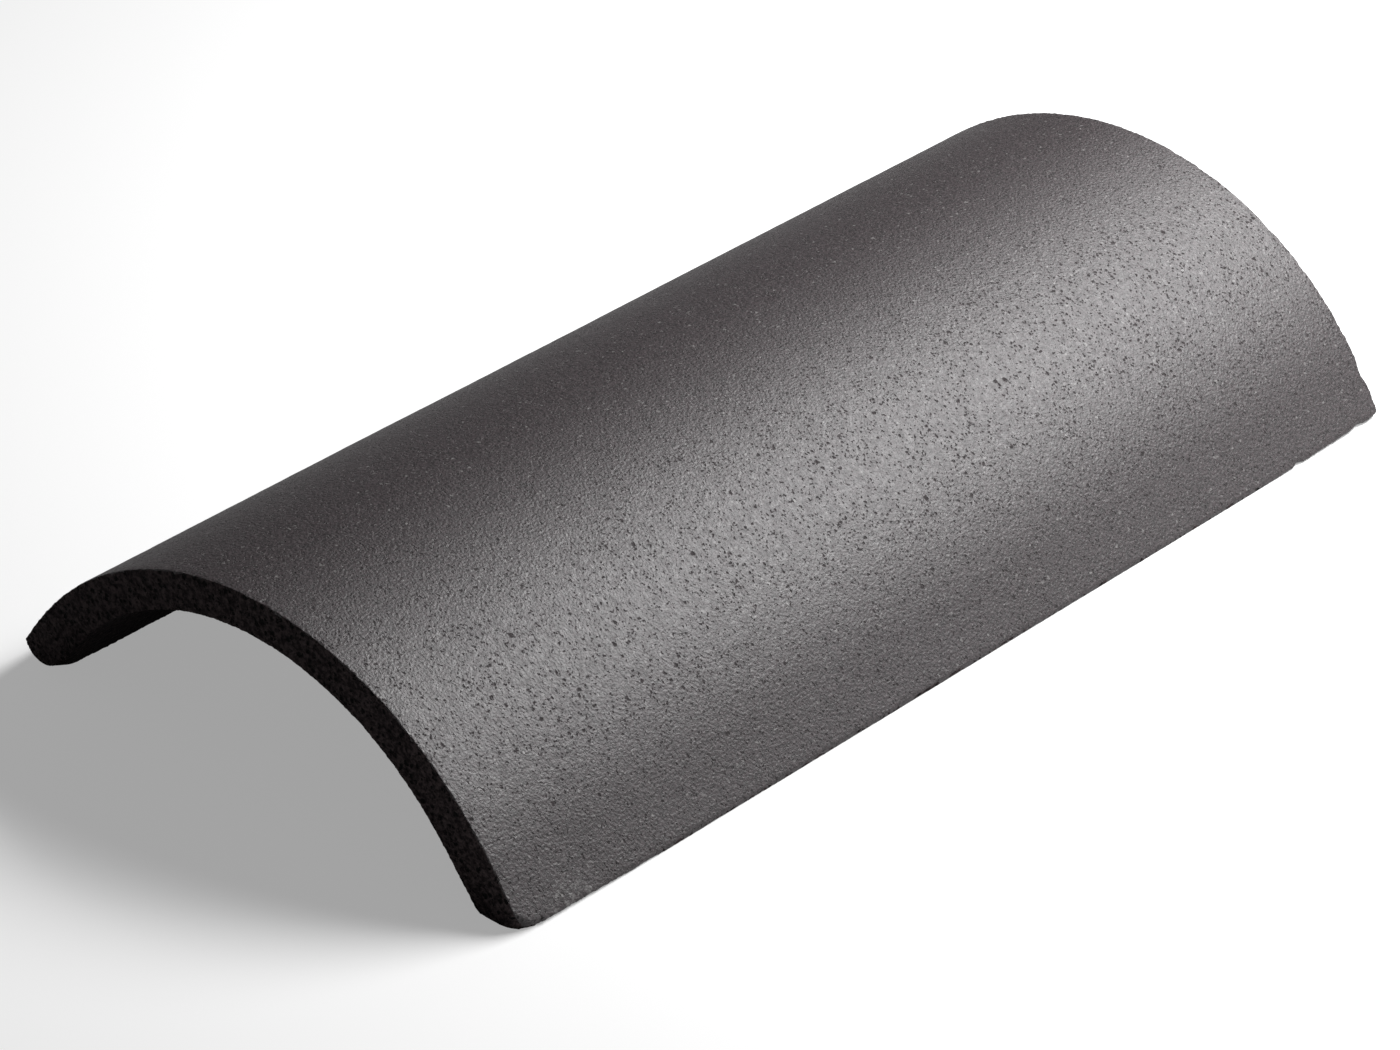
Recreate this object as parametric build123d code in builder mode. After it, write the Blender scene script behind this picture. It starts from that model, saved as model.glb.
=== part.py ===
from build123d import *
import math
import os

# Segmental ridge tile, one piece of fired clay lying legs down.
# The feet stand on Z = 0, the ridge runs along Y, and X = 0 and Y = 0 are its middle planes.

os.makedirs("parts", exist_ok=True)

# Driving sizes, in millimetres and degrees
length = 450.0  # along the ridge, from end face to end face
width = 242.0  # across both feet, before their edges are eased
height = 75.0  # from the ground to the top of the crown
crown_wall = 14.5  # clay thickness under the ridge line
foot_width = 20.0  # each foot, measured level across the leg
outer_slope = 55.0  # weathered side of the straight legs, from level
inner_slope = 51.0  # underside of the straight legs, from level
corner_radius = 5.0  # leg corners, seen from the side
outer_arris = 1.5  # eased edge all round the weathered face
inner_arris = 2.0  # eased edge all round the underside


def crown_radius(foot_x, crown_z, slope):
    """Radius of the arc that is level at the crown and runs on into a straight leg of this slope."""
    slope = math.radians(slope)
    return (foot_x * math.tan(slope) - crown_z) / (1 / math.cos(slope) - 1)


# Derived sizes
outer_foot_x = width / 2
inner_foot_x = outer_foot_x - foot_width
inner_height = height - crown_wall
outer_radius = crown_radius(outer_foot_x, height, outer_slope)
inner_radius = crown_radius(inner_foot_x, inner_height, inner_slope)

# The tile: a half section mirrored about the ridge, then drawn out to its full length
with BuildPart() as ridge_tile:
    with BuildSketch(Plane.XZ) as section:
        with BuildLine():
            crown = JernArc((0, height), (1, 0), outer_radius, -outer_slope)
            leg = Line(crown @ 1, (outer_foot_x, 0))
            foot = Line(leg @ 1, (inner_foot_x, 0))
            vault = JernArc((0, inner_height), (1, 0), inner_radius, -inner_slope)
            Line(foot @ 1, vault @ 1)
            mirror(about=Plane.YZ)
        make_face()
    extrude(amount=length / 2, both=True)

    # Leg corners: the short edges where the feet meet the end faces
    fillet(ridge_tile.edges().filter_by(Axis.X).group_by(Axis.Z)[0], radius=corner_radius)

    # Arrises: each runs from a long foot edge on round the leg corners and over the end faces
    foot_edges = ridge_tile.edges().filter_by(Axis.Y).group_by(Axis.Z)[0].sort_by(Axis.X)
    fillet([foot_edges[0], foot_edges[-1]], radius=outer_arris)
    foot_edges = ridge_tile.edges().filter_by(Axis.Y).group_by(Axis.Z)[0].sort_by(Axis.X)
    fillet(foot_edges[1:-1], radius=inner_arris)

ridge_tile.part.label = "ridge_tile"
export_step(ridge_tile.part, "parts/ridge_tile.step")

print(f"crown radius {outer_radius:.1f} mm outside and {inner_radius:.1f} mm underneath")
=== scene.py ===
# %% [markdown]
# # A segmental ridge tile
# The real tile is one piece of dark fired clay, 450 mm long, which lies legs down like a low tunnel.
# Its weathered face is satin and pitted, its cut ends are rough and black, and its edges crumble.
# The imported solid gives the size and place. This lesson builds the same form again from its rule,
# because a mesh that follows a rule can be fine enough to carry grain, chips and worn corners.

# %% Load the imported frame
import math
from types import SimpleNamespace

import bpy
from mathutils import Euler, Matrix, Vector


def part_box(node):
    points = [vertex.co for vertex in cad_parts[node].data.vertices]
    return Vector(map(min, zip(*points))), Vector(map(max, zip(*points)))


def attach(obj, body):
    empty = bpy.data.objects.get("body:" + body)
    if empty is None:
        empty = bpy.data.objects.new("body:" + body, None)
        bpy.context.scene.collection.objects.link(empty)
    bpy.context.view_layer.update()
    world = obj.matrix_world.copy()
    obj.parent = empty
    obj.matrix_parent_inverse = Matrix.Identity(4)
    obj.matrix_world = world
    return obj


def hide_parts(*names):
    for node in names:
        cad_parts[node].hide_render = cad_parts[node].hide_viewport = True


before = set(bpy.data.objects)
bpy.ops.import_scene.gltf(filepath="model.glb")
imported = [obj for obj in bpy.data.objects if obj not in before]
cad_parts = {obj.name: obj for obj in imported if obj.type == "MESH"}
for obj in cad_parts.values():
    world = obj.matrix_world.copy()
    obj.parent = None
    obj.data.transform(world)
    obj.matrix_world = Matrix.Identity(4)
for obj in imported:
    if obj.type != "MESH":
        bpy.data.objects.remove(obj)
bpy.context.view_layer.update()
low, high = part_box("ridge_tile")
print("packed tile", [round(side, 4) for side in high - low], "m")

# %% [markdown]
# ## Camera
# A long lens a little under two metres away keeps the tile's edges almost parallel, as in a catalogue.
# It could be aimed with a Track To constraint. Plain angles were chosen, because they can be read off
# and changed one at a time: a turn about the vertical, a tilt down, and a small roll.

# %% Camera
CAMERA_PLACE = (1.1324, -1.2607, 1.0219)
CAMERA_TURN = math.radians(42.20)
CAMERA_DOWN = math.radians(31.01)
CAMERA_ROLL = math.radians(0.48)
FRAME_WIDTH = 1400
FOCAL_PIXELS = 5628
SENSOR_MM = 36.0

camera = bpy.data.objects.new("camera", bpy.data.cameras.new("camera"))
bpy.context.scene.collection.objects.link(camera)
bpy.context.scene.camera = camera
camera.data.sensor_width = SENSOR_MM
camera.data.lens = SENSOR_MM * FOCAL_PIXELS / FRAME_WIDTH
camera.location = CAMERA_PLACE
aim = Euler((math.pi / 2 - CAMERA_DOWN, 0, CAMERA_TURN)).to_matrix()
camera.rotation_euler = (aim @ Matrix.Rotation(CAMERA_ROLL, 3, "Z")).to_euler()
print("lens", round(camera.data.lens, 1), "mm")

# %% [markdown]
# ## Formulas as nodes
# The shape and the clay are both made of node trees. A node for every plus and times would bury the
# rule in wiring, so a small class lets a socket stand in a formula: each sign adds one Math node.


# %% A socket that can be used in a formula
def plug(tree, value, socket):
    """Feeds a socket with a number, a vector or another node's output."""
    if isinstance(value, Field):
        tree.links.new(value.socket, socket)
    else:
        socket.default_value = value


def add(tree, kind, inputs=None, **settings):
    """Adds a node, makes its settings and feeds its inputs, which are given by name or by number."""
    node = tree.nodes.new(kind)
    for name, value in settings.items():
        setattr(node, name, value)
    for name, value in (inputs or {}).items():
        plug(tree, value, node.inputs[name])
    return node


class Field:
    """An output socket with arithmetic: every operation adds a Math node to its tree."""

    def __init__(self, tree, socket):
        self.tree = tree
        self.socket = socket

    def math(self, operation, *others):
        """Adds one Math node that works on this field and the others."""
        node = add(self.tree, "ShaderNodeMath", operation=operation)
        for place, value in enumerate((self, *others)):
            plug(self.tree, value, node.inputs[place])
        return Field(self.tree, node.outputs[0])

    def __add__(self, other):
        return self.math("ADD", other)

    def __sub__(self, other):
        return self.math("SUBTRACT", other)

    def __rsub__(self, number):
        return self * -1.0 + number

    def __mul__(self, other):
        return self.math("MULTIPLY", other)

    def __truediv__(self, other):
        return self.math("DIVIDE", other)

    def least(self, other):
        return self.math("MINIMUM", other)

    def most(self, other):
        return self.math("MAXIMUM", other)

    def ramp(self, start, end, first=0.0, last=1.0):
        """Goes smoothly from first, where the field is start, to last, where it is end."""
        inputs = {"Value": self, "From Min": start, "From Max": end, "To Min": first, "To Max": last}
        node = add(self.tree, "ShaderNodeMapRange", inputs, interpolation_type="SMOOTHSTEP")
        return Field(self.tree, node.outputs["Result"])


def output(node, name=0):
    """A node's output as a field."""
    return Field(node.id_data, node.outputs[name])


def parts(place):
    """The three parts of a vector field."""
    node = add(place.tree, "ShaderNodeSeparateXYZ", {"Vector": place})
    return [output(node, axis) for axis in "XYZ"]


def vector(tree, x=0.0, y=0.0, z=0.0):
    """Three fields as one vector field."""
    return output(add(tree, "ShaderNodeCombineXYZ", {"X": x, "Y": y, "Z": z}))


def vector_math(operation, where, value):
    """Adds one Vector Math node between a place and a second value, which is a number only for SCALE."""
    second = "Scale" if operation == "SCALE" else 1
    node = add(where.tree, "ShaderNodeVectorMath", {0: where, second: value}, operation=operation)
    return output(node, "Value" if operation == "DISTANCE" else "Vector")


def noise(where, size, detail=2.0, roughness=0.5, shift=0.0):
    """Smooth noise from 0 to 1 whose grains are about size metres across. Two noises with different
    shifts have nothing to do with each other."""
    moved = vector_math("ADD", where, (shift, shift, shift))
    inputs = {"Vector": moved, "Scale": 1 / size, "Detail": detail, "Roughness": roughness}
    return output(add(where.tree, "ShaderNodeTexNoise", inputs), "Fac")


# %% [markdown]
# ## The section
# An end view of the tile shows two lines, the weathered side and the underside. Each is an arc over
# the crown that runs on into two straight legs without a kink. One node group draws both: given how far
# round the line to go, from -1 at the left foot to 1 at the right, it answers with the place.
# The radius isn't typed in. It follows from the crown's height, the foot's place and the leg's slope.


# %% The arch line
def new_tree(name, inputs, outputs):
    """A Geometry Nodes tree with named inputs and outputs, its inputs as fields, and its output node."""
    tree = bpy.data.node_groups.new(name, "GeometryNodeTree")
    for label, (kind, value) in inputs.items():
        socket = tree.interface.new_socket(label, in_out="INPUT", socket_type="NodeSocket" + kind)
        if value is not None:
            socket.default_value = value
    for label, kind in outputs.items():
        tree.interface.new_socket(label, in_out="OUTPUT", socket_type="NodeSocket" + kind)
    given = add(tree, "NodeGroupInput")
    return tree, {label: output(given, label) for label in inputs}, add(tree, "NodeGroupOutput")


def arch_line_tree():
    numbers = ("Share", "Foot", "Crown", "Slope")
    inputs = {label: ("Float", 0.0) for label in numbers}
    tree, given, result = new_tree("arch_line", inputs, {"Place": "Vector", "Half Length": "Float"})
    share, foot, crown, slope = (given[label] for label in numbers)
    sine = slope.math("SINE")
    cosine = slope.math("COSINE")
    radius = (foot * sine - crown * cosine) / (1 - cosine)
    arc = radius * slope
    half = arc + (foot - radius * sine) / cosine
    travelled = share.math("ABSOLUTE") * half
    bend = travelled.least(arc) / radius
    straight = (travelled - arc).most(0)
    x = radius * bend.math("SINE") + straight * cosine
    z = crown - radius * (1 - bend.math("COSINE")) - straight * sine
    plug(tree, vector(tree, x * share.math("SIGN"), 0.0, z), result.inputs["Place"])
    plug(tree, half, result.inputs["Half Length"])
    return tree


arch_line = arch_line_tree()
print("arch line", len(arch_line.nodes), "nodes")


# %% [markdown]
# ## The clay body
# The tile was pressed or drawn as a slab, so it is built as one. A box of grid lines is the slab, and
# every point of it knows three things: how far across, how far along, and how deep under the weathered
# face it lies. The edges are rounded while the slab is still flat, where that is easy. Then the slab is
# wrapped on to the two arch lines. The other way, a swept curve, gives no grid on the cut ends, and
# those need one for their rough grain.


# %% Grid lines and places in a flat slab
TINY = 1e-9
MARGIN = 0.009


def drawn_out(share, pull=0.25):
    """Moves grid lines from -1 to 1 towards both ends, where the edges need them closer together."""
    return share * (1 + pull - share * share * pull)


def length_of(a, b):
    return (a * a + b * b).math("SQRT").most(TINY)


def pick(flag, yes, no):
    """yes where the flag is 1, and no where it is 0."""
    return flag * (yes - no) + no


def moved_out(place, half, over):
    """A place across or along the slab, with its part in the margin replaced."""
    return (place.math("ABSOLUTE").least(half - MARGIN) + over) * place.math("SIGN")


print("margin", MARGIN * 1000, "mm")

# %% [markdown]
# ## Rings in the margin
# The outline of a flat slab is a rectangle with round corners, and so is every line beside it. The margin,
# the strip along the outline, is therefore split into rings. A point is rounded by moving it to another
# ring, and the layer it is in by moving it deeper.


# %% Rounding a flat slab
def margin_rings(across, along, half_across, half_along):
    """How far over the margin's inner line a point lies in both directions, how far inward of the outline
    its ring is, and the ring's size as a part of the outline's."""
    over_across = (across.math("ABSOLUTE") - half_across + MARGIN).most(0)
    over_along = (along.math("ABSOLUTE") - half_along + MARGIN).most(0)
    reach = over_across.most(over_along)
    return over_across, over_along, MARGIN - reach, reach.most(TINY) / MARGIN


def on_ring(over_across, over_along, growth, inward, corner):
    """Moves a point of the margin to the ring that is inward of the outline by so much, whose corners are
    arcs about the same centres as the outline's."""
    bend = (corner - inward).most(0)
    straight = MARGIN - inward - bend
    over_across = over_across * growth
    over_along = over_along * growth
    core_across = over_across.least(straight)
    core_along = over_along.least(straight)
    size = length_of(over_across - core_across, over_along - core_along)
    new_across = (over_across - core_across) / size * bend + core_across
    return new_across, (over_along - core_along) / size * bend + core_along


def round_edge(inward, deep, radius):
    """Brings points beside the edge of two faces on to an arc that leaves both faces smoothly."""
    inward_centre = inward.most(radius)
    deep_centre = deep.most(radius)
    size = length_of(inward_centre - inward, deep_centre - deep)
    inward = inward_centre - radius * (inward_centre - inward) / size
    return inward, deep_centre - radius * (deep_centre - deep) / size


# %% [markdown]
# ## Wear on the body
# An old tile is nowhere quite sharp or straight. Its ends wave by half a millimetre, and the edges
# crumble, so the radius that rounds them changes along the edge. The feet are worn most at the
# corners, where the tile is set down. Two toes at the near end have lost more: the left one is ground to
# a round nose, and the right one is rounded as seen from above. A cone does both. Whatever sticks out of
# it is drawn back to it.
# Numbers that belong to a place, such as how near an edge is, have to be kept on the points before
# the points move. A named attribute does that, and later nodes read it back.


# %% Helpers for wear
def stored(tree, name):
    """A number that was kept on the points of the mesh."""
    kept = add(tree, "GeometryNodeInputNamedAttribute", {"Name": name}, data_type="FLOAT")
    return output(kept, "Attribute")


def store(geometry, name, value):
    """Keeps a field on the points of the mesh."""
    inputs = {"Geometry": geometry, "Name": name, "Value": value}
    return output(add(geometry.tree, "GeometryNodeStoreNamedAttribute", inputs, domain="POINT"))


def swing(field):
    """Noise from 0 to 1 as a swing from -1 to 1."""
    return field * 2 - 1


def dents(across, row):
    """How deep a row of listed dents is, each given by its centre, half its width and its depth."""
    depth = 0.0
    for centre, width, deepest in row:
        depth = ((across - centre).math("ABSOLUTE") / width).ramp(1.0, 0.0, 0.0, deepest) + depth
    return depth


def drawn_in(place, centre, reach, where):
    """Draws the points that lie further from a centre than its reach back to that circle."""
    first, second = place
    off_first = first - centre[0]
    off_second = second - centre[1]
    kept = pick(where, (reach / length_of(off_first, off_second)).least(1.0), 1.0)
    return off_first * kept + centre[0], off_second * kept + centre[1]


def by_corner(given, name, slab):
    """One of the sizes that each corner has for itself."""
    near_size = pick(slab.left, given[name + " Near Left"], given[name + " Near Right"])
    far_size = pick(slab.left, given[name + " Far Left"], given[name + " Far Right"])
    return pick(slab.near, near_size, far_size)


# %% [markdown]
# ## The tree's inputs
# The tree of the body could be one long function. It is easier to read as steps, one function each, that
# hand on the slab's fields in one bundle. All its sizes are named inputs: the plain ones, and those that
# each of the four corners has for itself.

# %% Names of the inputs
PLAIN_SIZES = (
    "Length", "Foot", "Crown", "Crown Wall", "Foot Width", "Outer Slope", "Inner Slope", "Underside Shift",
    "Foot Arris", "End Arris", "Inner Arris", "End Wave", "Nose Radius", "Nose Growth",
    "Toe Radius", "Toe Growth", "Grit",
)
CORNER_SIZES = ("Corner", "End Wear", "Foot Wear", "Inner Wear")
CORNERS = ("Near Left", "Near Right", "Far Left", "Far Right")


def body_inputs():
    """The kind and the first value of each named input."""
    inputs = {label: ("Float", 0.0) for label in PLAIN_SIZES}
    inputs |= {f"{name} {place}": ("Float", 0.0) for name in CORNER_SIZES for place in CORNERS}
    inputs |= {label: ("Int", 2) for label in ("Columns", "Rows", "Layers")}
    inputs |= {label: ("Vector", (0, 0, 0)) for label in ("Lowest", "Highest")}
    inputs |= {label: ("Material", None) for label in ("Coat", "Body Clay")}
    return inputs


print("inputs", len(body_inputs()))

# %% [markdown]
# ## The flat slab
# The slab's grid is a cube whose points run from -1 to 1 each way, drawn out to the tile's sizes. Its width
# in the flat lies between the lengths of the two arch lines. Where the ends stop is decided here too. Both
# wave a little, each in its own way, and the far end has the shallow dents of the real one.

# %% The grid and its flat places
WAVE_SIZE = 0.012
WAVED = (0.55, 0.85)
ENDS_APART = 0.5
FAR_DENTS = ((0.031, 0.003, 0.0004), (0.061, 0.005, 0.0006), (0.079, 0.003, 0.0005), (0.119, 0.006, 0.0010))


def arch(tree, share, line, name):
    """One answer of the arch line's node group, for a line given by its foot, crown and slope."""
    foot, crown, slope = line
    numbers = {"Share": share, "Foot": foot, "Crown": crown, "Slope": slope}
    return output(add(tree, "GeometryNodeGroup", numbers, node_tree=arch_line), name)


def flat_slab(tree, given):
    """The slab's grid, and where each of its points lies in the flat."""
    lattice = {"Size": (2, 2, 2), "Vertices X": given["Columns"], "Vertices Y": given["Rows"]}
    lattice["Vertices Z"] = given["Layers"]
    slab = SimpleNamespace(grid=output(add(tree, "GeometryNodeMeshCube", lattice), "Mesh"))
    x, y, z = parts(output(add(tree, "GeometryNodeInputPosition")))
    slab.left = x.math("LESS_THAN", 0)
    slab.near = y.math("LESS_THAN", 0)
    slab.upper = z.math("GREATER_THAN", 0)
    slab.wall = given["Crown Wall"]
    slab.outer_line = (given["Foot"], given["Crown"], given["Outer Slope"])
    inner_foot = given["Foot"] - given["Foot Width"]
    slab.inner_line = (inner_foot, given["Crown"] - slab.wall, given["Inner Slope"])
    outer_half = arch(tree, 0.0, slab.outer_line, "Half Length")
    slab.half_across = (outer_half + arch(tree, 0.0, slab.inner_line, "Half Length")) / 2
    slab.across = drawn_out(x) * slab.half_across
    waved = noise(vector(tree, slab.across, slab.near * ENDS_APART), WAVE_SIZE, 1.0).ramp(*WAVED)
    dented = dents(slab.across, FAR_DENTS) * (1 - slab.near)
    slab.half_along = given["Length"] / 2 - waved * given["End Wave"] - dented
    slab.along = drawn_out(y) * slab.half_along
    slab.deep = (1 - drawn_out(z)) * slab.wall / 2
    return slab


# %% [markdown]
# ## How round each edge is
# The line where two faces meet is called an arris, and no arris of an old tile is quite sharp. Fine noise
# makes them toothed, and coarse noise bites into them. Near a toe the wear of that corner is added, and the
# right foot has two chips near its far end. A point looks its radius up at the outline beside it, so one
# cut through the edge is a clean arc.

# %% Radii
FOOT_BLEND = 0.0015
TEETH_SIZE = 0.0016
TOOTHED = (0.35, 0.75)
END_LEAST = 0.75
END_TEETH = 0.8
FOOT_LEAST = 0.8
FOOT_TEETH = 0.4
BITE_SIZE = 0.014
BITTEN = (0.60, 0.78)
BITE_DEPTH = 0.0007
END_WEAR_REACH = 0.015
FOOT_WEAR_REACH = 0.090
INNER_WEAR_REACH = (0.030, 0.006)
CRISP_REACH = (0.035, 0.015)
CRISPNESS = 0.6
WIDEST_EDGE = 0.95
FOOT_CHIPS = ((0.176, 0.004, 0.0014), (0.2125, 0.005, 0.0014))


def find_edges(tree, slab):
    """Adds to the slab where in the margin a point lies, and the same for the outline beside it."""
    rings = margin_rings(slab.across, slab.along, slab.half_across, slab.half_along)
    slab.over_across, slab.over_along, slab.inward, ring = rings
    rim_across = moved_out(slab.across, slab.half_across, slab.over_across / ring)
    rim_along = moved_out(slab.along, slab.half_along, slab.over_along / ring)
    slab.outline = vector(tree, rim_across, rim_along, slab.upper * slab.wall)
    to_foot = slab.half_across - rim_across.math("ABSOLUTE")
    slab.toe = length_of(to_foot, slab.half_along - rim_along.math("ABSOLUTE"))
    slab.on_foot = ((slab.over_across - slab.over_along) / ring).ramp(-FOOT_BLEND, FOOT_BLEND)


def edge_radius(given, slab):
    """The radius of the nearest edge, and how much of it is the wear of the ends."""
    teeth = noise(slab.outline, TEETH_SIZE, 2.0, 0.6).ramp(*TOOTHED)
    bites = noise(slab.outline, BITE_SIZE, 1.0).ramp(*BITTEN) * BITE_DEPTH
    worn_end = slab.toe.ramp(END_WEAR_REACH, 0.0) * by_corner(given, "End Wear", slab)
    end = given["End Arris"] * (teeth * END_TEETH + END_LEAST) + bites + worn_end
    crisp = slab.left * slab.near * slab.toe.ramp(*CRISP_REACH)
    foot = given["Foot Arris"] * (teeth * FOOT_TEETH + FOOT_LEAST) * (1 - crisp * CRISPNESS) + bites
    chips = dents(slab.along, FOOT_CHIPS) * (1 - slab.left)
    foot += slab.toe.ramp(FOOT_WEAR_REACH, 0.0) * by_corner(given, "Foot Wear", slab) + chips
    inner = slab.toe.ramp(*INNER_WEAR_REACH) * slab.on_foot * by_corner(given, "Inner Wear", slab)
    inner += given["Inner Arris"]
    radius = pick(slab.upper, pick(slab.on_foot, foot, end), inner)
    return radius.least(MARGIN * WIDEST_EDGE), worn_end


# %% [markdown]
# ## Rounding and wrapping
# Now the points move. The margin's rings go inward, corners and all, and the layers near a face go deeper,
# which rounds every edge at once. What is kept on the points is the rim, below 0 on the faces and above 0
# on what was cut, the edge, 1 on the arrises, and the side, 0 on the weathered face and 1 underneath.
# The wrapping is a mix of the two arch lines, by how deep a point lies.

# %% Rounding and wrapping
RIM_HELD_BACK = 0.35
EDGE_SHARE = 0.6
EDGE_FADE = (0.0022, 0.0005)


def round_off(given, slab):
    """Moves the points of the margin, and returns the grid with their rim, side and edge kept on it."""
    radius, worn_end = edge_radius(given, slab)
    deep = pick(slab.upper, slab.deep, slab.wall - slab.deep)
    new_inward, new_deep = round_edge(slab.inward, deep, radius)
    growth = (MARGIN - new_inward) / (MARGIN - slab.inward).most(TINY)
    corner = by_corner(given, "Corner", slab)
    over_across, over_along = on_ring(slab.over_across, slab.over_along, growth, new_inward, corner)
    slab.across = moved_out(slab.across, slab.half_across, over_across)
    slab.along = moved_out(slab.along, slab.half_along, over_along)
    slab.side = pick(slab.upper, new_deep, slab.wall - new_deep) / slab.wall
    rim = new_deep - new_inward - worn_end * slab.upper * RIM_HELD_BACK
    edge = (new_deep + new_inward - radius * EDGE_SHARE).ramp(*EDGE_FADE)
    return store(store(store(slab.grid, "rim", rim), "side", slab.side), "edge", edge)


def wrapped(tree, given, slab):
    """How far out and how high each point of the slab comes to lie."""
    share = slab.across / slab.half_across
    lines = {0: slab.side, 4: arch(tree, share, slab.outer_line, "Place")}
    lines[5] = arch(tree, share, slab.inner_line, "Place")
    section = output(add(tree, "ShaderNodeMix", lines, data_type="VECTOR"), 1)
    out, _, height = parts(section)
    return out + slab.side * given["Underside Shift"], height


# %% [markdown]
# ## The two worn toes
# Each cone is given by a circle at one place and by how fast it widens from there. The nose's circle is seen
# from the end and widens along the tile. The toe's is seen from above, where the second number is counted
# from the near end, and it widens upwards. So both fade out into the sound body by themselves.

# %% Worn toes
NOSE_CENTRE = (-0.1043, 0.0140)
NOSE_FADE = (0.0110, 0.0075)
TOE_CENTRE = (0.1088, 0.0095)


def worn_toes(tree, given, slab, out, height):
    """The points' final places, with both near toes drawn in to their cones."""
    nose_reach = given["Nose Radius"] + (slab.along + slab.half_along) * given["Nose Growth"]
    outside = out.math("LESS_THAN", NOSE_CENTRE[0])
    below = pick(outside, height.math("LESS_THAN", NOSE_CENTRE[1]), height.ramp(*NOSE_FADE))
    out, height = drawn_in((out, height), NOSE_CENTRE, nose_reach, slab.left * below)

    from_end = slab.along + given["Length"] / 2
    at_toe = out.math("GREATER_THAN", TOE_CENTRE[0]) * from_end.math("LESS_THAN", TOE_CENTRE[1])
    toe_reach = given["Toe Radius"] + height * given["Toe Growth"]
    out, from_end = drawn_in((out, from_end), TOE_CENTRE, toe_reach, at_toe)
    return vector(tree, out, from_end - given["Length"] / 2, height)


# %% [markdown]
# ## Relief
# The last move pushes points along their normals by a few tenths of a millimetre. The whole body swells
# and sinks a little, the underside was dragged along its mould, and what was cut and every arris is gritty.
# Grit is pushed mostly inwards, and the points are held in the solid's box, as the tile may not grow.

# %% Relief
BOW_SIZE = 0.12
BOW = 0.0003
SWELL_SIZE = 0.007
SWELL = 0.0001
DRAG_SIZE = 0.006
DRAG = 0.00012
DRAG_STRETCH = 0.06
CUT_GRAIN = 0.0022
CUT_SUNK = 0.25
ARRIS_GRAIN = 0.0013
ARRIS_SUNK = 0.3
CUT_FADE = (-0.0002, 0.0006)


def position(tree):
    return output(add(tree, "GeometryNodeInputPosition"))


def shift_points(body, **inputs):
    return output(add(body.tree, "GeometryNodeSetPosition", {"Geometry": body, **inputs}))


def with_relief(tree, given, body):
    """The body with its fine relief, held between its lowest and highest corners."""
    here = position(tree)
    here_x, here_y, here_z = parts(here)
    drag = vector(tree, here_x, here_y * DRAG_STRETCH, here_z)
    grit = given["Grit"]
    cut = stored(tree, "rim").ramp(*CUT_FADE)
    mould = (1 - cut) * stored(tree, "side")
    relief = swing(noise(here, BOW_SIZE)) * BOW + swing(noise(here, SWELL_SIZE, 1.0)) * SWELL
    relief += mould * swing(noise(drag, DRAG_SIZE)) * DRAG
    relief += cut * (swing(noise(here, CUT_GRAIN, 2.0, 0.6)) * grit - grit * CUT_SUNK)
    relief += stored(tree, "edge") * (swing(noise(here, ARRIS_GRAIN, 1.0)) * grit - grit * ARRIS_SUNK)
    normal = output(add(tree, "GeometryNodeInputNormal"))
    body = shift_points(body, Offset=vector_math("SCALE", normal, relief))
    held = vector_math("MAXIMUM", position(tree), given["Lowest"])
    return shift_points(body, Position=vector_math("MINIMUM", held, given["Highest"]))


# %% [markdown]
# ## Coated and bare places
# The coat was brushed or sprayed on the weathered face alone. So the tree ends with the coat on the whole
# body, and then a second Set Material gives bare clay to the underside and to the rim, where it starts on
# a ragged line. With that the steps are all there, and one short function joins them.

# %% Materials on the body, and the whole tree
RAGGED_FINE = (0.0016, 0.0010)
RAGGED_COARSE = (0.006, 0.0010)
BARE_RIM = 0.0002
HALF_WAY_DOWN = 0.5


def with_materials(tree, given, body):
    """The body as plain smooth mesh, with the coat all over it and then bare clay where it was cut."""
    body = output(add(tree, "GeometryNodeSetShadeSmooth", {"Geometry": body}))
    body = output(add(tree, "GeometryNodeRealizeInstances", {"Geometry": body}))
    body = output(add(tree, "GeometryNodeSetMaterial", {"Geometry": body, "Material": given["Coat"]}))
    ragged = stored(tree, "rim")
    for size, reach in (RAGGED_FINE, RAGGED_COARSE):
        ragged += swing(noise(position(tree), size, 1.0)) * reach
    underneath = stored(tree, "side").math("GREATER_THAN", HALF_WAY_DOWN)
    bare = ragged.math("GREATER_THAN", BARE_RIM).most(underneath)
    inputs = {"Geometry": body, "Selection": bare, "Material": given["Body Clay"]}
    return output(add(tree, "GeometryNodeSetMaterial", inputs))


def body_tree():
    tree, given, result = new_tree("ridge_tile_body", body_inputs(), {"Body": "Geometry"})
    slab = flat_slab(tree, given)
    find_edges(tree, slab)
    marked = round_off(given, slab)
    out, height = wrapped(tree, given, slab)
    body = shift_points(marked, Position=worn_toes(tree, given, slab, out, height))
    body = with_materials(tree, given, with_relief(tree, given, body))
    plug(tree, body, result.inputs["Body"])
    return tree


body_rule = body_tree()
print("body tree", len(body_rule.nodes), "nodes")

# %% [markdown]
# ## The coat and the bare body
# A thin dark coat covers the weathered face. It shines softly where it is whole, and not in the small
# ragged pores that speckle it, so the pores show most in the sheen. The cut ends, the feet and the
# underside were never coated. They are granular bare body, a little warmer in tone and with hardly any
# shine. Two materials are made, because the strength of gloss is best one plain number in each.
# A speck is the middle of a Voronoi cell, with noise to make it ragged and luck to give it a size. Pores
# and grit could be dug into the mesh, but most of them are smaller than its faces.

# %% Specks and grains
MID_GREY = (0.5, 0.5, 0.5)
SPECK_EDGE = (1.25, 0.55)


def shaken(where, size, reach):
    """The place moved about by noise, so that round marks get ragged outlines."""
    inputs = {"Vector": where, "Scale": 1 / size, "Detail": 1.0}
    shake = output(add(where.tree, "ShaderNodeTexNoise", inputs), "Color")
    shake = vector_math("SUBTRACT", shake, MID_GREY)
    return vector_math("ADD", where, vector_math("SCALE", shake, reach * 2))


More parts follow.
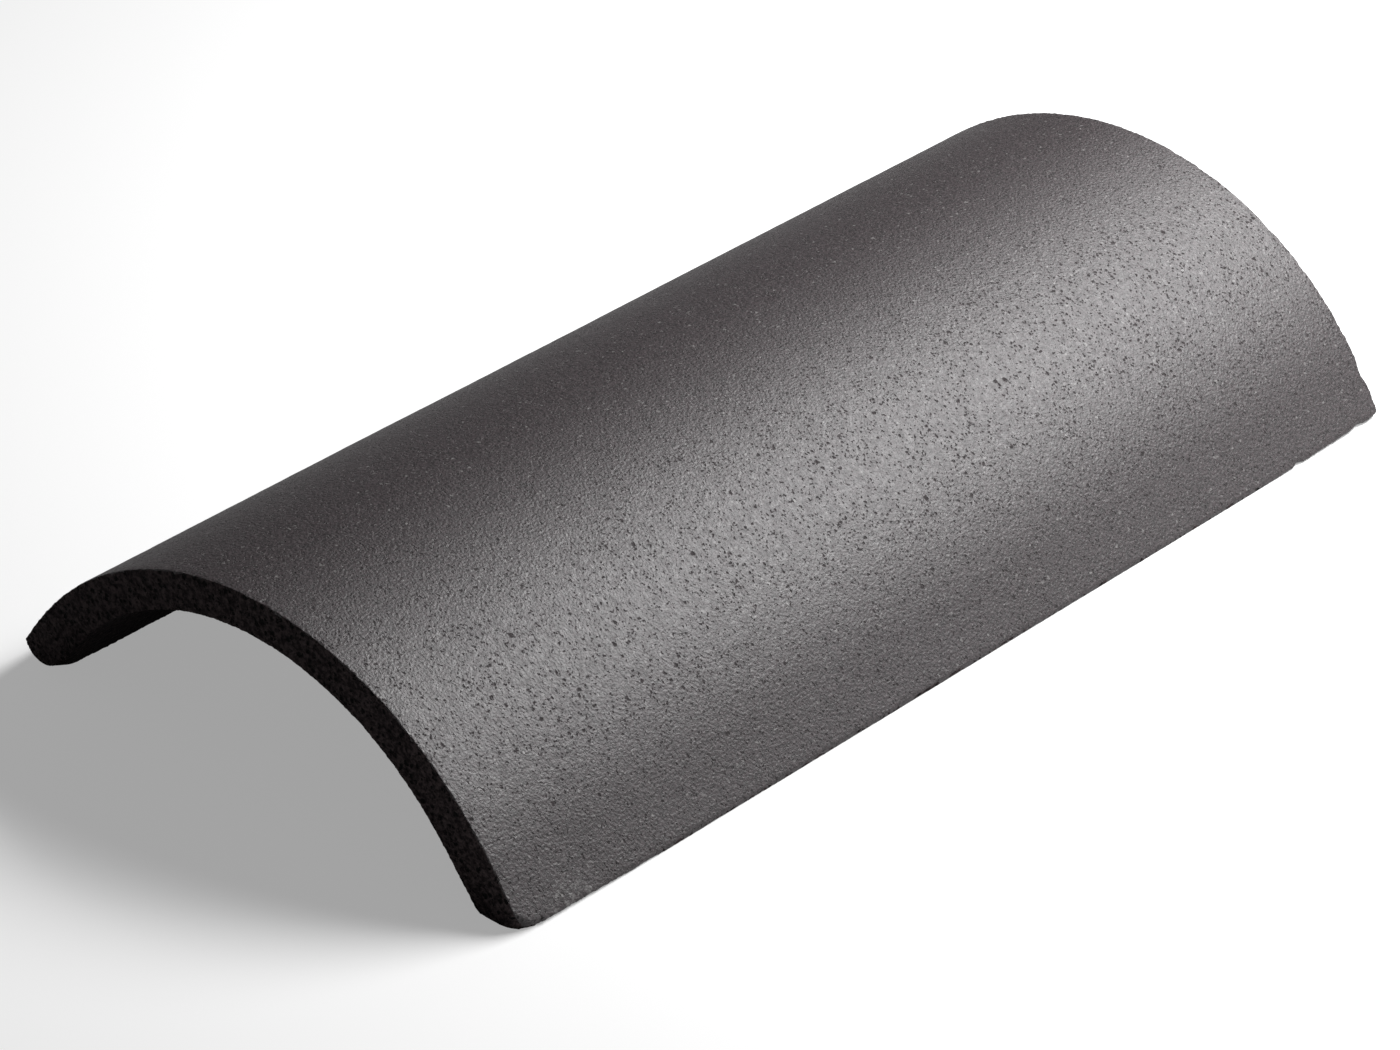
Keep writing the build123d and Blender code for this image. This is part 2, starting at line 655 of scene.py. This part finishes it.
def specks(where, cell, sizes, power=1.0, swelling=1.0):
    """One round mark in each cell, from 0 beside it to 1 on it. The smallest and the largest size are
    parts of the cell, and a higher power makes large marks rarer."""
    cells = add(where.tree, "ShaderNodeTexVoronoi", {"Vector": where, "Scale": 1 / cell}, feature="F1")
    luck = parts(output(cells, "Color"))[0].math("POWER", power)
    smallest, largest = sizes
    size = (luck * (largest - smallest) + smallest) * swelling
    return (output(cells, "Distance") / size).ramp(*SPECK_EDGE)


def blend(share, first, second):
    """A colour from first, where the share is 0, to second, where it is 1."""
    node = add(share.tree, "ShaderNodeMix", {0: share, 6: first, 7: second}, data_type="RGBA")
    return output(node, 2)


def new_material(name, gloss):
    """A material, its surface shader and the place on the object as a field."""
    material = bpy.data.materials.new(name)
    material.use_nodes = True
    surface = material.node_tree.nodes["Principled BSDF"]
    surface.inputs["Specular IOR Level"].default_value = gloss
    return material, surface, output(add(material.node_tree, "ShaderNodeTexCoord"), "Object")


def roughen(surface, height):
    """Makes a height field, in millimetres, felt by the light."""
    bump = add(height.tree, "ShaderNodeBump", {"Height": height, "Distance": 0.001})
    plug(height.tree, output(bump, "Normal"), surface.inputs["Normal"])


# %% [markdown]
# ## The marks in the coat
# The real coat has three kinds of marks. Pores are dull, and darkened with painted shade in the pit, most of
# them about half a millimetre wide, a few much wider, and all of them larger in some patches than in others.
# Grains of pale grit are rare and mostly tiny. Near the worn right toe the coat is scuffed through to paler
# clay.
# Cells are in metres, and the sizes of what lies in them are parts of a cell.

# %% Pores, grit and scuffs
PORE_CELL = 0.00135
PORE_SIZES = (0.17, 0.42)
PORE_RARITY = 2.0
WIDE_PORE_CELL = 0.006
WIDE_PORE_SIZES = (0.02, 0.16)
RAG_SIZE = 0.0012
PORE_RAG = 0.0009
PATCH_SIZE = 0.011
PATCH_SWELLING = (0.35, 0.65, 0.8, 1.05)
GRIT_CELL = 0.0018
GRIT_SIZES = (0.001, 0.36)
GRIT_RARITY = 4.0
SCUFF_SIZE = 0.0024
SCUFFED = (0.48, 0.60)
SCUFF_REACH = (0.014, 0.006)
WORN_TOE = (0.1195, -0.202, -0.002)


def coat_marks(where):
    """The shares of pore and of pale clay, from 0 to 1."""
    ragged = shaken(where, RAG_SIZE, PORE_RAG)
    patches = noise(where, PATCH_SIZE).ramp(*PATCH_SWELLING)
    pores = specks(ragged, PORE_CELL, PORE_SIZES, PORE_RARITY, patches)
    pores = pores.most(specks(ragged, WIDE_PORE_CELL, WIDE_PORE_SIZES, 1.0, patches))
    grit = specks(ragged, GRIT_CELL, GRIT_SIZES, GRIT_RARITY)
    scuffs = noise(where, SCUFF_SIZE, 2.0, 0.6).ramp(*SCUFFED)
    return pores, grit.most(scuffs * vector_math("DISTANCE", where, WORN_TOE).ramp(*SCUFF_REACH))


# %% [markdown]
# ## The coat
# Between its marks the coat is mottled in two ways. Its tone changes from grain to grain, which shows in
# the shade, and so does its roughness, which shows in the sheen. A shallow grain is felt by the light too.
# A deeper one could do the work of both, but it looks combed where the light grazes it.

# %% The coat
COAT_DARK = (0.0105, 0.0078, 0.0086, 1)
COAT_LIGHT = (0.0435, 0.0324, 0.0356, 1)
# The pores' colour is painted shade in the pits.
PORE_PAINTED_SHADE = (0.010, 0.0062, 0.0066, 1)
PORE_SHADE_SHARE = 0.6
PALE_GRIT = (0.120, 0.113, 0.112, 1)
COAT_GLOSS = 0.78
COAT_ROUGHNESS = 0.565
PORE_ROUGHNESS = 0.40
MOTTLE_SIZE = 0.0025
MOTTLE_ROUGHNESS = 0.19
TONE_SIZE = 0.0011
TONED = (0.30, 0.70)
GRAIN_SIZE = 0.0010
GRAIN_MM = 0.36
COAT_SWELL_SIZE = 0.004
COAT_SWELL_MM = 0.1
PORE_MM = 0.2


def coat_material():
    material, surface, where = new_material("clay_coat", COAT_GLOSS)
    pores, pale = coat_marks(where)
    grain = noise(where, GRAIN_SIZE, 3.0, shift=3.1)
    swell = noise(where, COAT_SWELL_SIZE, 1.0)
    roughen(surface, grain * GRAIN_MM + swell * COAT_SWELL_MM - pores * PORE_MM)
    tone = noise(where, TONE_SIZE, 2.0, 0.6, shift=5.3).ramp(*TONED)
    # Pores are darkened towards painted shade, since the bump doesn't shade the pits.
    colour = blend(pores * PORE_SHADE_SHARE, blend(tone, COAT_DARK, COAT_LIGHT), PORE_PAINTED_SHADE)
    plug(where.tree, blend(pale, colour, PALE_GRIT), surface.inputs["Base Color"])
    mottle = swing(noise(where, MOTTLE_SIZE, 4.0, 0.75, shift=7.7))
    rough = pores * PORE_ROUGHNESS + mottle * MOTTLE_ROUGHNESS + COAT_ROUGHNESS
    plug(where.tree, rough.least(1.0), surface.inputs["Roughness"])
    return material


coat = coat_material()
print("coat", len(coat.node_tree.nodes), "nodes")

# %% [markdown]
# ## The bare body
# Where the tile was cut it looks like coarse dark bread: crumbs of fired clay with open holes between them.
# One noise gives the crumbs both their height and their colour, so that what stands out gets painted light and
# what lies deep gets painted shade. The holes are near-black painted shade.

# %% The bare body
# The body's colours run from painted shade in the hollows to painted light on the crumbs' tops, and the holes
# are near-black painted shade.
BODY_PAINTED_SHADE = (0.014, 0.010, 0.011, 1)
BODY_PAINTED_LIGHT = (0.080, 0.061, 0.062, 1)
HOLE_PAINTED_SHADE = (0.003, 0.003, 0.003, 1)
BODY_GLOSS = 0.2
HOLE_CELL = 0.0024
HOLE_SIZES = (0.10, 0.50)
HOLE_RAG = 0.0008
CRUMB_SIZE = 0.0016
CRUMB_LIGHT_AND_SHADE = (0.35, 0.70)
CRUMB_MM = 1.0
HOLE_MM = 0.6


def body_material():
    material, surface, where = new_material("bare_clay", BODY_GLOSS)
    surface.inputs["Roughness"].default_value = 1.0
    holes = specks(shaken(where, RAG_SIZE, HOLE_RAG), HOLE_CELL, HOLE_SIZES)
    crumbs = noise(where, CRUMB_SIZE, 3.0, 0.65)
    roughen(surface, crumbs * CRUMB_MM - holes * HOLE_MM)
    # The crumbs' colour follows their height: painted light on top and painted shade below.
    clay = blend(crumbs.ramp(*CRUMB_LIGHT_AND_SHADE), BODY_PAINTED_SHADE, BODY_PAINTED_LIGHT)
    # The holes get near-black painted shade.
    plug(where.tree, blend(holes, clay, HOLE_PAINTED_SHADE), surface.inputs["Base Color"])
    return material


bare = body_material()
print("bare body", len(bare.node_tree.nodes), "nodes")

# %% [markdown]
# ## The tile's sizes
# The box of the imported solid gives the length, the width and the height, and the wall, the feet and the
# slopes are the solid's too. The foot line is where the weathered face would meet the ground, if its arris
# were sharp, so it lies a little outside the box. A skin is left free for the relief, and what still passes
# the box is drawn back. Each kind of wear has one size a corner, in the order of the corners' names.

# %% Sizes and wear
EASED_OFF = 0.0014
SKIN = 0.0002
sizes = {
    "Length": high.y - low.y + SKIN,
    "Foot": high.x + EASED_OFF - SKIN,
    "Crown": high.z - SKIN,
    "Crown Wall": 0.0145,
    "Foot Width": 0.020,
    "Outer Slope": math.radians(55),
    "Inner Slope": math.radians(51),
    "Underside Shift": -0.0013,
    "Foot Arris": 0.0009,
    "End Arris": 0.0005,
    "Inner Arris": 0.0006,
    "End Wave": 0.0005,
    "Nose Radius": 0.0093,
    "Nose Growth": 0.36,
    "Toe Radius": 0.0095,
    "Toe Growth": 0.29,
    "Grit": 0.0003,
    "Columns": 520,
    "Rows": 640,
    "Layers": 20,
    "Lowest": low,
    "Highest": high,
    "Coat": coat,
    "Body Clay": bare,
}
WEAR = {
    "Corner": (0.0012, 0.0004, 0.0035, 0.0040),
    "End Wear": (0.0003, 0.0006, 0.0030, 0.0010),
    "Foot Wear": (0.0, 0.0022, 0.0020, 0.0022),
    "Inner Wear": (0.0018, 0.0015, 0.0022, 0.0022),
}
for name, four in WEAR.items():
    sizes |= {f"{name} {place}": size for place, size in zip(CORNERS, four)}
print("sizes", len(sizes))

# %% [markdown]
# ## Making the tile
# The tree runs once, on an empty mesh, and its result is kept as plain mesh. Its grid is finer than the
# finished mesh may be. Decimate then takes out the points that say nothing, so the edges and the grit keep
# theirs. It may also push a point a hair too far, so at the end each point is held inside the solid's box.
# The empty mesh's nameless material slot stays in front of the two real ones, and is taken out.

# %% The tile
MOST_TRIANGLES = 192_000


def plain_mesh(piece, name):
    """The piece's mesh as its modifiers leave it, in an object without modifiers."""
    evaluated = piece.evaluated_get(bpy.context.evaluated_depsgraph_get())
    mesh = bpy.data.meshes.new_from_object(evaluated)
    mesh.name = name
    bpy.data.objects.remove(piece)
    made = bpy.data.objects.new(name, mesh)
    bpy.context.scene.collection.objects.link(made)
    return made


def triangles_of(mesh):
    return sum(len(face.vertices) - 2 for face in mesh.polygons)


def by_tree(name, tree, inputs):
    """Runs a tree on an empty mesh. Each input is set by its identifier, before anything is evaluated."""
    piece = bpy.data.objects.new(name, bpy.data.meshes.new(name))
    modifier = piece.modifiers.new(name, "NODES")
    modifier.node_group = tree
    for label, value in inputs.items():
        modifier[tree.interface.items_tree[label].identifier] = value
    bpy.context.scene.collection.objects.link(piece)
    return plain_mesh(piece, name)


tile = by_tree("ridge_tile_clay", body_rule, sizes)
print("grid", triangles_of(tile.data), "triangles")
thinner = tile.modifiers.new("thinner", "DECIMATE")
thinner.ratio = MOST_TRIANGLES / triangles_of(tile.data)
tile = plain_mesh(tile, "ridge_tile_clay")
tile.data.materials.pop(index=0)
for point in tile.data.vertices:
    point.co = [min(max(place, least), most) for place, least, most in zip(point.co, low, high)]
print("tile", triangles_of(tile.data), "triangles in", [slot.name for slot in tile.data.materials])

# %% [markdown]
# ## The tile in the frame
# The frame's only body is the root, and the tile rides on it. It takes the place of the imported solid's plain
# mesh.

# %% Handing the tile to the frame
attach(tile, "root")
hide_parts("ridge_tile")
print("the tile stands for ridge_tile")

# %% [markdown]
# ## The floor
# The tile stands on white. A floor that is only lit white would need so much light that the tile turned
# pale, so the floor glows a little as well. The camera sees the whole glow, and a gloss a quarter of it.
# Rays that carry light don't see it, so it doesn't light the tile, and the tile's shadow stays on the floor.

# %% The floor
FLOOR_SIZE = 12.0
FLOOR_COLOUR = (0.60, 0.60, 0.60, 1)
FLOOR_GLOW = 0.355
MIRRORED = 0.25


def seen_or_mirrored(tree):
    """1 for rays from the camera, less for those from a gloss, and 0 for those that carry light."""
    path = add(tree, "ShaderNodeLightPath")
    return output(path, "Is Camera Ray").most(output(path, "Is Glossy Ray") * MIRRORED)


def floor_material():
    material, surface, _ = new_material("white_floor", 0.0)
    tree = material.node_tree
    surface.inputs["Base Color"].default_value = FLOOR_COLOUR
    surface.inputs["Roughness"].default_value = 1.0
    surface.inputs["Emission Color"].default_value = (1, 1, 1, 1)
    plug(tree, seen_or_mirrored(tree) * FLOOR_GLOW, surface.inputs["Emission Strength"])
    return material


def floor_object():
    """A square that is flat on the ground, with its middle under the tile."""
    half = FLOOR_SIZE / 2
    corners = [(-half, -half, 0), (half, -half, 0), (half, half, 0), (-half, half, 0)]
    mesh = bpy.data.meshes.new("floor")
    mesh.from_pydata(corners, [], [(0, 1, 2, 3)])
    mesh.materials.append(floor_material())
    return bpy.data.objects.new("floor", mesh)


floor = floor_object()
bpy.context.scene.collection.objects.link(floor)
print("floor", FLOOR_SIZE, "m")

# %% [markdown]
# ## The light
# The only lamp is one large soft panel beyond the far end, to the right. Seen in the coat it makes the
# broad sheen on the right flank, and it leaves the near end and the floor before it in shade. The world is
# plain white to the camera and gives hardly any light. View transform Standard leaves colours as they are.

# %% Panel and backdrop
PANEL_PLACE = Vector((0.270, 0.598, 0.740))
PANEL_AIM = Vector((0.0, 0.0, 0.05))
PANEL_SIZE = (0.78, 0.36)
PANEL_WATTS = 20.8
SKY = 0.03

panel = bpy.data.objects.new("panel", bpy.data.lights.new("panel", "AREA"))
panel.data.shape = "RECTANGLE"
panel.data.size, panel.data.size_y = PANEL_SIZE
panel.data.energy = PANEL_WATTS
panel.location = PANEL_PLACE
panel.rotation_euler = (PANEL_AIM - PANEL_PLACE).to_track_quat("-Z", "Y").to_euler()
bpy.context.scene.collection.objects.link(panel)

world = bpy.data.worlds.new("studio")
world.use_nodes = True
bpy.context.scene.world = world
backdrop = world.node_tree.nodes["Background"]
seen = output(add(world.node_tree, "ShaderNodeLightPath"), "Is Camera Ray")
plug(world.node_tree, pick(seen, 1.0, SKY), backdrop.inputs["Strength"])
backdrop.inputs["Color"].default_value = (1, 1, 1, 1)
bpy.context.scene.view_settings.view_transform = "Standard"
print("panel", PANEL_WATTS, "W, sky", SKY)
